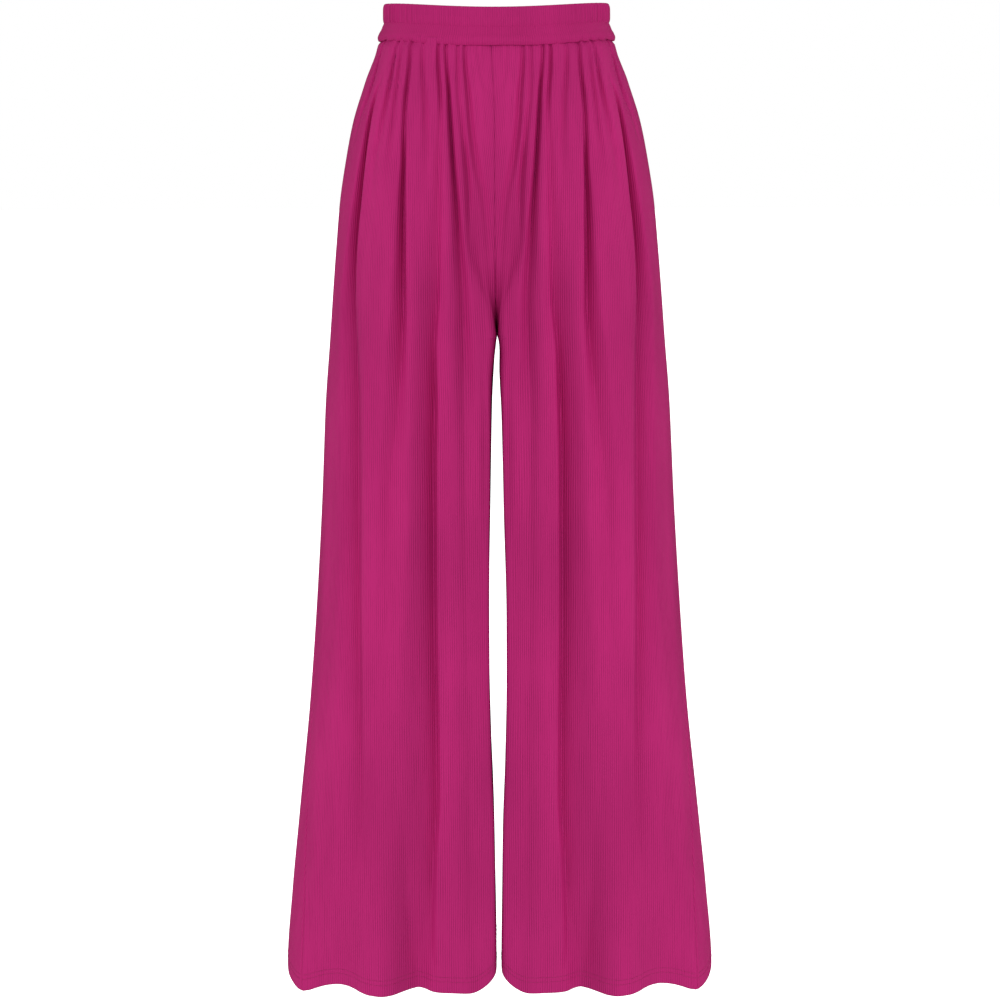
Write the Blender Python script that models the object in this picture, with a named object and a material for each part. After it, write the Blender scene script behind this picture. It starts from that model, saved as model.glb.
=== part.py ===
"""Pull-on palazzo trousers in fine ribbed jersey, filled out as if worn, with no wearer.

Four leg pieces hang from a plain lower band, and a ring of elastic casing closes the top.
The origin is the centre of the waist at mid-height of the casing. +Z is up and the front
faces -Y, so the wearer's right leg is on -X. All sizes below are in millimetres and are
turned to metres when the points are made. "down" is the depth below the origin.
"""
import math

import bmesh
import bpy
import numpy as np

MM = 0.001

# Cloth and sewing
CLOTH = 1.2
HEM_CLOTH = 2.0
HEM_DEPTH = 18.0
SEAM_GAP = 0.3
FABRIC_COLOUR = (0.413, 0.0194, 0.138, 1.0)
BAND_COLOUR = (0.440, 0.0210, 0.147, 1.0)
CASING_COLOUR = (0.456, 0.0222, 0.153, 1.0)
JERSEY_ROUGHNESS = 0.85

# Waist: two ellipses share their centre, and the front edge sits lower than the sides
CASING_WIDE = 121.0
CASING_DEEP = 88.0
CASING_WALL = 3.0
CASING_TOP = -11.5
CASING_BOTTOM = 9.7
BAND_BOTTOM = 28.0
BAND_WALL = 2.2
FRONT_DIP = 6.1
BACK_DIP = 2.0
DIP_FADES_AT = 110.0

# Legs
CROTCH = 338.0
CROTCH_Y = 10.0
FRONT_CURVE_STARTS = 284.0
BACK_CURVE_STARTS = 200.0
HEM = 1048.0
INSEAM_STRAIGHT_AT = 1 / 3  # share of the leg below the crotch
INNER_LEAN = 1.3
LEAN_REACHED = 90.0
SIDE_HEM_DROP = 10.0
SIDE_HEM_REACH = 32.0
SIDE_HEM_RISE = 160.0
CENTRE_WARP_REACH = 42.0
SEAM_CALM = 9.0
VALLEY_ROUND = 4.0
SHARP_EDGE = math.radians(50)


def table(names, *rows):
    """A short table: one array of values for each named column."""
    return dict(zip(names.split(), np.array(rows, dtype=float).T))


# The widest point, the side seam and the front and back of one half, level by level.
# "fill" is how square the section is at its inner and outer corners. Below the hips the cloth
# hangs flat to an inner corner, and "square" is how near it comes to a sharp one.
SECTIONS = table(
    "down  side   side_y seam_y front_x front_y back_x back_y fill_in fill_out square",
    (28,   127.2,     0,     0,     12,    -92,    12,    92,   0.56,   0.56,   0.00),
    (70,   141.0,     0,     0,     25,   -101,    25,   105,   0.56,   0.57,   0.00),
    (112,  154.3,     0,     0,     45,   -110,    42,   119,   0.57,   0.58,   0.00),
    (155,  162.8,     0,     0,     58,   -115,    56,   127,   0.58,   0.60,   0.00),
    (198,  169.5,     0,     0,     60,   -118,    64,   131,   0.62,   0.62,   0.00),
    (245,  174.0,     0,     0,     60,   -119,    67,   130,   0.70,   0.62,   0.10),
    (284,  177.3,     0,     0,     60,   -119,    70,   128,   0.76,   0.62,   0.55),
    (347,  182.0,    -2,    -3,     62,   -119,    80,   122,   0.84,   0.60,   0.77),
    (415,  187.5,    -3,    -8,     66,   -119,    92,   118,   0.88,   0.58,   0.82),
    (526,  193.0,    -5,   -18,     68,   -119,   100,   116,   0.90,   0.57,   0.90),
    (638,  200.0,    -7,   -28,     68,   -119,   104,   116,   0.90,   0.58,   0.93),
    (750,  208.6,   -10,   -40,     66,   -119,   106,   116,   0.90,   0.62,   0.93),
    (865,  220.8,   -13,   -62,     64,   -120,   108,   117,   0.88,   0.68,   0.92),
    (957,  230.4,   -15,   -76,     62,   -121,   110,   118,   0.86,   0.72,   0.90),
    (1048, 237.0,   -15,   -82,     60,   -122,   112,   118,   0.82,   0.75,   0.85),
)

# The centre front and centre back seams above the crotch curve
CENTRES = table(
    "down  front  back  shift",
    (28,    -92,    92, -6.0),
    (70,   -101,   104, -3.6),
    (112,  -108,   116, -1.6),
    (155,  -110,   124, -0.4),
    (200,  -108,   128,  0.0),
    (220,  -107,   128,  0.0),
)

# Half of the gap between the legs in front. Behind, it is a little wider.
GAP = table(
    "down  half",
    (338,   0.2),
    (345,   1.5),
    (355,   2.3),
    (371,   3.1),
    (402,   4.4),
    (415,   4.8),
    (526,   7.0),
    (638,   8.9),
    (705,   8.8),
    (796,   6.9),
    (865,   4.4),
    (930,   3.4),
    (1048,  2.2),
)

# Folds run down from the gathers. Each row is a fold: its softness on the outer and the
# inner side, then stations of depth below the origin, distance out from the centre of
# the garment and depth of the fold. A negative depth is a ridge.
FRONT_FOLDS = (
    ("crotch", 5, 7, ((28, 29, 1.5), (91, 27, 4), (152, 24, 5), (194, 15, 3), (255, 7, 1), (347, 5, 0),
                      (415, 8, 0), (526, 11, 0), (670, 13, 0), (865, 9, 0), (1048, 7, 0))),
    ("inner", 5, 13, ((28, 51, 2), (91, 50, 6), (152, 46, 10), (235, 42, 7), (361, 36, 4), (617, 24, 1),
                      (1048, 24, 0))),
    ("middle", 16, 5, ((28, 63, 1.5), (132, 61, 3), (298, 66, 5), (361, 69, 10), (617, 71, 10), (725, 77, 7),
                       (835, 90, 8), (968, 96, 12), (1048, 90, 22))),
    ("outer", 14, 5, ((28, 90, 2), (91, 96, 6), (194, 98, 13), (298, 100, 9), (403, 112, 5), (617, 124, 1),
                      (865, 133, -3), (1048, 129, -17))),
    ("side", 13, 5, ((28, 115, 2), (91, 128, 6), (173, 141, 12), (298, 150, 8), (445, 152, 3), (704, 158, 1),
                     (930, 168, 7), (1048, 172, 20))),
)
BACK_FOLDS = (
    ("crotch", 6, 8, ((28, 24, 1.5), (91, 27, 4), (180, 24, 7), (260, 15, 4), (347, 9, 0), (415, 11, 0),
                      (526, 14, 0), (670, 16, 0), (865, 12, 0), (1048, 10, 0))),
    ("inner", 6, 12, ((28, 45, 2), (100, 48, 7), (210, 50, 9), (361, 44, 5), (640, 36, 2), (1048, 30, 0))),
    ("middle", 15, 6, ((28, 66, 2), (132, 70, 6), (290, 78, 9), (430, 80, 10), (690, 84, 9), (880, 92, 12),
                       (1048, 96, 19))),
    ("outer", 13, 6, ((28, 88, 2), (100, 99, 6), (210, 108, 11), (330, 116, 7), (520, 128, 3), (865, 140, -4),
                      (1048, 142, -12))),
    ("side", 12, 6, ((28, 110, 2), (100, 128, 5), (190, 142, 9), (320, 152, 6), (520, 162, 3), (865, 180, 5),
                     (1048, 188, 13))),
    ("flank", 14, 9, ((28, 121, 0), (100, 144, 2), (200, 162, 3), (320, 171, 2), (520, 184, 1), (865, 213, 4),
                      (1048, 227, 9))),
)

# Levels of the rows, and how many strips lie between neighbouring fold lines
WAIST_ROWS = (28.3, 42, 60, 85, 115, 150, 185, 222, 255)
CROTCH_CURVE_STEPS = 4
LEG_ROWS = (362, 395, 455, 540, 640, 740, 840, 930, 1000, HEM - HEM_DEPTH, HEM)
FRONT_STRIPS = (2, 3, 3, 3, 4, 4)
BACK_STRIPS = (4, 3, 3, 3, 3, 2, 2)
RING_STEPS = 44
SECTION_STEPS = 72


def smooth(downs, values, down):
    """Monotone cubic through the table's points, level beyond its ends."""
    down = min(max(down, downs[0]), downs[-1])
    steps = np.diff(downs)
    slopes = np.diff(values) / steps
    tangents = np.zeros(len(values))
    for i in range(1, len(values) - 1):
        if slopes[i - 1] * slopes[i] > 0:
            before = 2 * steps[i] + steps[i - 1]
            after = steps[i] + 2 * steps[i - 1]
            tangents[i] = (before + after) / (before / slopes[i - 1] + after / slopes[i])
    i = int(min(np.searchsorted(downs, down, side="right") - 1, len(steps) - 1))
    t = (down - downs[i]) / steps[i]
    curve = (2 * t**3 - 3 * t**2 + 1) * values[i] + (3 * t**2 - 2 * t**3) * values[i + 1]
    return curve + steps[i] * ((t**3 - 2 * t**2 + t) * tangents[i] + (t**3 - t**2) * tangents[i + 1])


def at(rows, name, down):
    return smooth(rows["down"], rows[name], down)


def ease(value):
    """0 to 1 with flat ends."""
    t = np.clip(value, 0.0, 1.0)
    return t * t * (3 - 2 * t)


def lean(down):
    """How far the inside of a leg leans in over the gap in front, and away from it behind."""
    return INNER_LEAN * ease((down - CROTCH) / LEAN_REACHED)


def centre(down, side):
    """Where a half begins or ends: (x, y, angle). side is -1 for the front, 1 for the back."""
    start = FRONT_CURVE_STARTS if side < 0 else BACK_CURVE_STARTS
    name = "front" if side < 0 else "back"
    if down <= start:
        return 0.0, at(CENTRES, name, down), 0.0
    if down <= CROTCH:
        turn = math.asin((down - start) / (CROTCH - start))
        seam = at(CENTRES, name, start)
        return 0.0, seam + (CROTCH_Y - seam) * (1 - math.cos(turn)), turn
    fall = (down - CROTCH) / (HEM - CROTCH)
    return at(GAP, "half", down) + lean(down), CROTCH_Y * (1 - ease(fall / INSEAM_STRAIGHT_AT)), math.pi / 2


def bezier(start, first, second, end):
    t = np.linspace(0.0, 1.0, SECTION_STEPS + 1)[:, None]
    points = [np.array(p) for p in (start, first, second, end)]
    near = (1 - t)**3 * points[0] + 3 * t * (1 - t)**2 * points[1]
    return near + 3 * t**2 * (1 - t) * points[2] + t**3 * points[3]


def quarter(x0, y0, turn, x1, y1, fill_in, square, corner_x, x2, y2, fill_out, side):
    """From the centre or inseam over the front or back of the leg to its widest point."""
    cleft = math.sin(turn)
    thigh = side * max(side * CROTCH_Y + fill_in * abs(y1 - CROTCH_Y), side * y0)
    leave = (x0 + fill_in * (x1 - x0) * (1 - cleft), y0 + (thigh - y0) * cleft)
    near = bezier((x0, y0), leave, (x1 - fill_in * (x1 - x0), y1), (x1, y1))
    share = np.linspace(-1.0, 1.0, SECTION_STEPS + 1)[:, None]
    near += square * (1 - share**6) * ((corner_x, y1) - near)
    far = bezier((x1, y1), (x1 + fill_out * (x2 - x1), y1), (x2, y2 + fill_out * (y1 - y2)), (x2, y2))
    return np.vstack((near, far[1:]))


def half_section(down):
    """The smooth section of one half at a level, from its front centre round to its back centre."""
    widest = (at(SECTIONS, "side", down), at(SECTIONS, "side_y", down))
    halves = []
    for side, name in ((-1, "front"), (1, "back")):
        peak = (at(SECTIONS, name + "_x", down), at(SECTIONS, name + "_y", down))
        x, y, turn = centre(down, side)
        halves.append(quarter(x, y, turn, *peak, at(SECTIONS, "fill_in", down), at(SECTIONS, "square", down),
                              x + side * lean(down), *widest, at(SECTIONS, "fill_out", down), side))
    return np.vstack((halves[0], halves[1][::-1][1:]))


def lengths(points):
    return np.concatenate(([0.0], np.cumsum(np.linalg.norm(np.diff(points, axis=0), axis=1))))


class Level:
    """One level of one half: its smooth section, its side seam and its folds."""

    def __init__(self, down):
        self.down = down
        self.points = half_section(down)
        self.along = lengths(self.points)
        rising = slice(SECTION_STEPS, len(self.points) - SECTION_STEPS)
        seam_y = at(SECTIONS, "seam_y", down)
        self.seam = float(np.interp(seam_y, self.points[rising, 1], self.along[rising]))
        self.end = self.along[-1]
        tangent = np.gradient(self.points, self.along, axis=0)
        tangent /= np.linalg.norm(tangent, axis=1)[:, None]
        self.inward = np.column_stack((-tangent[:, 1], tangent[:, 0]))

    def place_of(self, out, panel):
        """The length along the section where the front or back is "out" from the centre."""
        half = self.points[:, 0]
        widest = int(np.argmax(half))
        if panel == "front":
            return float(np.interp(out, half[:widest + 1], self.along[:widest + 1]))
        return float(np.interp(out, half[widest:][::-1], self.along[widest:][::-1]))

    def fold_lines(self, panel):
        folds = FRONT_FOLDS if panel == "front" else BACK_FOLDS
        lines = []
        for _, outer, inner, stations in folds:
            downs, outs, depths = np.array(stations, dtype=float).T
            place = self.place_of(smooth(downs, outs, self.down), panel)
            lines.append((place, smooth(downs, depths, self.down), outer, inner))
        return lines

    def depth_at(self, along, panel):
        """How far the folds push the cloth in at a place on the front or back."""
        total = 0.0
        outwards = 1 if panel == "front" else -1
        for place, deep, outer, inner in self.fold_lines(panel):
            away = (along - place) * outwards
            reach = outer if away > 0 else inner
            total += deep * math.exp(-(math.hypot(away, VALLEY_ROUND) - VALLEY_ROUND) / reach)
        edges = (self.seam - along, along) if panel == "front" else (along - self.seam, self.end - along)
        return total * float(np.prod([ease(edge / SEAM_CALM) for edge in edges]))

    def point(self, along, panel):
        """The outside of the cloth, in millimetres, for the wearer's left half."""
        x, y = (np.interp(along, self.along, self.points[:, i]) for i in (0, 1))
        nx, ny = (np.interp(along, self.along, self.inward[:, i]) for i in (0, 1))
        deep = self.depth_at(along, panel)
        drop = waist_dip(y) * (1 - ease((self.down - BAND_BOTTOM) / (DIP_FADES_AT - BAND_BOTTOM)))
        near_hem = ease((self.down - HEM) / SIDE_HEM_RISE + 1)
        drop += SIDE_HEM_DROP * near_hem * math.exp(-((along - self.seam) / SIDE_HEM_REACH)**2)
        return np.array((x + nx * deep, y + ny * deep, -self.down - drop))

    def columns(self, panel):
        """Places of the columns, which follow the fold lines."""
        places = sorted(line[0] for line in self.fold_lines(panel))
        ends = [0.0, *places, self.seam] if panel == "front" else [self.seam, *places, self.end]
        strips = FRONT_STRIPS if panel == "front" else BACK_STRIPS
        marks = [ends[0]]
        for start, stop, count in zip(ends, ends[1:], strips):
            marks += [start + (stop - start) * (i + 1) / count for i in range(count)]
        return marks


def waist_dip(y):
    """The waist's edges lie lower at the front, and a little lower at the back."""
    if y < 0:
        return FRONT_DIP * min(-y / CASING_DEEP, 1.0)**3
    return BACK_DIP * min(y / CASING_DEEP, 1.0)**2


def row_levels():
    curve = [math.pi / 2 * i / CROTCH_CURVE_STEPS for i in range(CROTCH_CURVE_STEPS + 1)]
    span = CROTCH - FRONT_CURVE_STARTS
    return [*WAIST_ROWS, *(FRONT_CURVE_STARTS + span * math.sin(turn) for turn in curve), *LEG_ROWS]


def unit(vectors):
    return vectors / np.linalg.norm(vectors, axis=-1, keepdims=True)


def grid_normals(grid):
    """Outward normals of a grid of points whose rows go down and columns run from front to back."""
    across = np.gradient(grid, axis=1)
    downwards = np.gradient(grid, axis=0)
    return unit(np.cross(downwards, across))


def leg_grids():
    """Outer points and normals of the front and back pieces of the wearer's left leg."""
    levels = [Level(down) for down in row_levels()]
    grids = {}
    for panel in ("front", "back"):
        rows = [[level.point(along, panel) for along in level.columns(panel)] for level in levels]
        grids[panel] = np.array(rows)
    normals = {panel: grid_normals(grid) for panel, grid in grids.items()}
    shared = unit(normals["front"][:, -1] + normals["back"][:, 0])
    normals["front"][:, -1] = normals["back"][:, 0] = shared
    inseam = np.array([level.down > CROTCH for level in levels])
    shared = unit(normals["front"][inseam, 0] + normals["back"][inseam, -1])
    normals["front"][inseam, 0] = normals["back"][inseam, -1] = shared
    return levels, grids, normals


def shell(name, outer, inner, closed, colour):
    """A wall between two grids of points, as one closed body."""
    mesh = bpy.data.meshes.new(name)
    work = bmesh.new()
    outside = [[work.verts.new(p * MM) for p in row] for row in outer]
    inside = [[work.verts.new(p * MM) for p in row] for row in inner]
    rows = len(outside)
    columns = len(outside[0])
    steps = columns if closed else columns - 1
    for r in range(rows - 1):
        for c in range(steps):
            d = (c + 1) % columns
            work.faces.new((outside[r][c], outside[r + 1][c], outside[r + 1][d], outside[r][d]))
            work.faces.new((inside[r][c], inside[r][d], inside[r + 1][d], inside[r + 1][c]))
    for c in range(steps):
        d = (c + 1) % columns
        work.faces.new((outside[0][c], outside[0][d], inside[0][d], inside[0][c]))
        work.faces.new((outside[-1][c], inside[-1][c], inside[-1][d], outside[-1][d]))
    if not closed:
        for r in range(rows - 1):
            work.faces.new((outside[r][0], inside[r][0], inside[r + 1][0], outside[r + 1][0]))
            work.faces.new((outside[r][-1], outside[r + 1][-1], inside[r + 1][-1], inside[r][-1]))
    bmesh.ops.recalc_face_normals(work, faces=work.faces)
    work.to_mesh(mesh)
    work.free()
    mesh.shade_smooth()
    mesh.set_sharp_from_angle(angle=SHARP_EDGE)
    piece = bpy.data.objects.new(name, mesh)
    bpy.context.scene.collection.objects.link(piece)
    material = bpy.data.materials.new(name)
    material.use_nodes = True
    finish = material.node_tree.nodes["Principled BSDF"]
    finish.inputs["Base Color"].default_value = colour
    finish.inputs["Roughness"].default_value = JERSEY_ROUGHNESS
    finish.inputs["Metallic"].default_value = 0.0
    mesh.materials.append(material)
    return piece


def trimmed(grid):
    """The grid with its first and last columns drawn back by half of the gap at a seam."""
    cut = grid.copy()
    for edge, beside in ((0, 1), (-1, -2)):
        cut[:, edge] += unit(grid[:, beside] - grid[:, edge]) * SEAM_GAP / 2
    cut[..., 0] = np.maximum(cut[..., 0], SEAM_GAP / 2)
    return cut


def warp_centre(grid):
    """The centre front seam wanders a little to the wearer's right near the waist."""
    warped = grid.copy()
    for point in warped.reshape(-1, 3):
        near = 1 - ease(abs(point[0]) / CENTRE_WARP_REACH)
        point[0] += at(CENTRES, "shift", -point[2]) * near if point[1] < 0 else 0.0
    return warped


def legs():
    levels, grids, normals = leg_grids()
    walls = [CLOTH + (HEM_CLOTH - CLOTH) * (level.down >= HEM - HEM_DEPTH) for level in levels]
    wall = np.array(walls)[:, None, None]
    for panel in ("front", "back"):
        outer = trimmed(grids[panel])
        inner = trimmed(grids[panel] - normals[panel] * wall)
        for wearer, mirror in (("left", 1), ("right", -1)):
            sides = np.array((mirror, 1, 1))
            shell(f"leg_{panel}_{wearer}", warp_centre(outer * sides), warp_centre(inner * sides), False,
                  FABRIC_COLOUR)


def ring(name, profile, wall, colour):
    """A band round the waist. The profile's rows are depth below the origin and reach outwards."""
    outer = []
    inner = []
    for down, out, thick in profile:
        outer_row = []
        inner_row = []
        for i in range(RING_STEPS):
            angle = 2 * math.pi * i / RING_STEPS
            for reach, row in ((out, outer_row), (out - wall * thick, inner_row)):
                x = (CASING_WIDE + reach) * math.sin(angle)
                y = -(CASING_DEEP + reach) * math.cos(angle)
                row.append((x, y, -down - waist_dip(y)))
        outer.append(outer_row)
        inner.append(inner_row)
    shell(name, np.array(outer), np.array(inner), True, colour)


CASING_PROFILE = (
    # down, reach, share of the wall
    (CASING_TOP, -1.1, 0.27),
    (CASING_TOP + 0.7, -0.3, 0.8),
    (CASING_TOP + 2.4, 0.0, 1.0),
    (CASING_BOTTOM - 8.0, 0.3, 1.0),
    (CASING_BOTTOM, 0.0, 1.0),
)
BAND_PROFILE = (
    # down, reach, share of the wall
    (CASING_BOTTOM + SEAM_GAP, 0.6, 1.0),
    (CASING_BOTTOM + 4.3, 1.8, 1.0),
    (CASING_BOTTOM + 9.8, 4.8, 1.0),
    (BAND_BOTTOM - 2.2, 6.8, 1.0),
    (BAND_BOTTOM, 6.4, 1.0),
)


def clear_scene():
    for item in list(bpy.data.objects):
        bpy.data.objects.remove(item, do_unlink=True)


clear_scene()
legs()
ring("waistband_lower", BAND_PROFILE, BAND_WALL, BAND_COLOUR)
ring("waistband_casing", CASING_PROFILE, CASING_WALL, CASING_COLOUR)
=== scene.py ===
"""Pull-on palazzo trousers in fine ribbed jersey, filled out as if worn, with no wearer.

Sizes are in millimetres until a mesh is made. "down" is the depth below the origin, which is the
middle of the waist. "out" is the distance from the middle of the garment to either side.
"""
import math

import bpy
import numpy as np
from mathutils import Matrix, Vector


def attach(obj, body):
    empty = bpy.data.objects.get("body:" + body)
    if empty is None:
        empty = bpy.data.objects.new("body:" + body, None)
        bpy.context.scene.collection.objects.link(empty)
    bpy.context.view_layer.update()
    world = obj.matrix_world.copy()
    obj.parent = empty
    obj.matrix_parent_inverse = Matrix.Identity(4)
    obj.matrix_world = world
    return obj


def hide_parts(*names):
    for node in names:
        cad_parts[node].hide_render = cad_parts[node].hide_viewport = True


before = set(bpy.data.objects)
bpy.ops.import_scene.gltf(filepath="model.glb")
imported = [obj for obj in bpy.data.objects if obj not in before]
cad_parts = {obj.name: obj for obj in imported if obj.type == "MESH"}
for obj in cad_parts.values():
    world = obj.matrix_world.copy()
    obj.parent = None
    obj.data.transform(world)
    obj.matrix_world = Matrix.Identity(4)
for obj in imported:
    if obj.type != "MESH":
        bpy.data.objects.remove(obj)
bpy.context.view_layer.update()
bpy.ops.object.select_all(action="DESELECT")


# Fronts and backs of the legs -----------------------------
# Four pieces of jersey, gathered onto the waistband and seamed at the sides, the inside legs and
# the centre. They are knitted cloth 1.2 mm thick, and their folds run down from the gathers.

MM = 0.001
CLOTH = 1.2
HEM_CLOTH = 2.0
HEM_DEPTH = 18.0

# How far down the cloth starts, the band ends, the crotch point lies and the hem hangs
CLOTH_TOP = 20.0
BAND_BOTTOM = 28.0
CROTCH = 338.0
HEM = 1048.0

# The waist is an ellipse, given by its half-width and half-depth, and its edges dip at the front
CASING_WIDE = 121.0
CASING_DEEP = 88.0
FRONT_DIP = 6.1
BACK_DIP = 2.0
DIP_FADES_AT = 110.0

# The crotch curve runs from the centre seams down and inwards to the inseams
CURVE_STARTS = {"front": 284.0, "back": 200.0}
CURVE_POWER = {"front": 1.7, "back": 1.0}
CROTCH_Y = 10.0
INSEAM_STRAIGHT_AT = 1 / 3

# The front inner corner of each leg leans over the gap between the legs
INNER_LEAN = 1.3
LEAN_REACHED = 90.0
CORNER_POWER = 6

# The hem drops at the side seams and rises towards the inseams
SIDE_HEM_DROP = 10.0
SIDE_HEM_REACH = 32.0
SIDE_HEM_RISE = 160.0
INNER_HEM_RISE = 24.0
INNER_HEM_REACH = 32.0


def table(names, *rows):
    """A short table: one array of values for each named column."""
    return dict(zip(names.split(), np.array(rows, dtype=float).T))


# The smooth section of one half at each depth: its widest point, its side seam, the fullest points of
# its front and back, and how full and how square its corners are
SECTIONS = table(
    "down  side   side_y seam_y front_x front_y back_x back_y fill_in fill_out square",
    (28,   127.2,     0,     0,     12,    -92,    12,    92,   0.56,   0.56,   0.00),
    (70,   141.0,     0,     0,     25,   -101,    25,   105,   0.56,   0.57,   0.00),
    (112,  154.3,     0,     0,     45,   -110,    42,   119,   0.57,   0.58,   0.00),
    (155,  162.8,     0,     0,     58,   -115,    56,   127,   0.58,   0.60,   0.00),
    (198,  169.5,     0,     0,     60,   -118,    64,   131,   0.62,   0.62,   0.00),
    (245,  174.0,     0,     0,     60,   -119,    67,   130,   0.70,   0.62,   0.10),
    (284,  177.3,     0,     0,     60,   -119,    70,   128,   0.76,   0.62,   0.55),
    (347,  182.0,    -2,    -3,     62,   -119,    80,   122,   0.84,   0.60,   0.77),
    (415,  187.5,    -3,    -8,     66,   -119,    92,   118,   0.88,   0.58,   0.82),
    (526,  193.0,    -5,   -18,     68,   -119,   100,   116,   0.90,   0.57,   0.90),
    (638,  200.0,    -7,   -28,     68,   -119,   104,   116,   0.90,   0.58,   0.93),
    (750,  208.6,   -10,   -40,     66,   -119,   106,   116,   0.90,   0.62,   0.93),
    (865,  220.8,   -13,   -62,     64,   -120,   108,   117,   0.88,   0.68,   0.92),
    (957,  230.4,   -15,   -76,     62,   -121,   110,   118,   0.86,   0.72,   0.90),
    (1048, 237.0,   -15,   -82,     60,   -122,   112,   118,   0.82,   0.75,   0.85),
)
# The centre seams, and how far the middle of the front hangs to one side
CENTRES = table(
    "down  front  back  shift",
    (28,    -92,    92, -3.2),
    (70,   -101,   104, -1.4),
    (112,  -108,   116,  0.0),
    (155,  -110,   124,  0.0),
    (200,  -108,   128,  0.0),
    (220,  -107,   128,  0.0),
    (300,  -107,   128,  0.6),
    (345,  -107,   128,  1.6),
    (380,  -107,   128, -1.0),
    (402,  -107,   128, -1.5),
    (509,  -107,   128, -1.4),
    (640,  -107,   128, -0.5),
    (1048, -107,   128, -0.5),
)
# Half the gap between the legs
GAP = table(
    "down  half",
    (338,   0.2),
    (345,   1.5),
    (355,   2.3),
    (371,   3.1),
    (402,   4.4),
    (415,   4.8),
    (526,   7.0),
    (638,   8.9),
    (705,   8.8),
    (796,   6.9),
    (865,   4.4),
    (930,   3.4),
    (1048,  2.2),
)


def trough(*stations):
    """A fold: how deep it is at each station, and how far its outer and inner sides reach. A negative
    depth is a ridge."""
    return table("down out deep outer inner", *stations)


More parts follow.
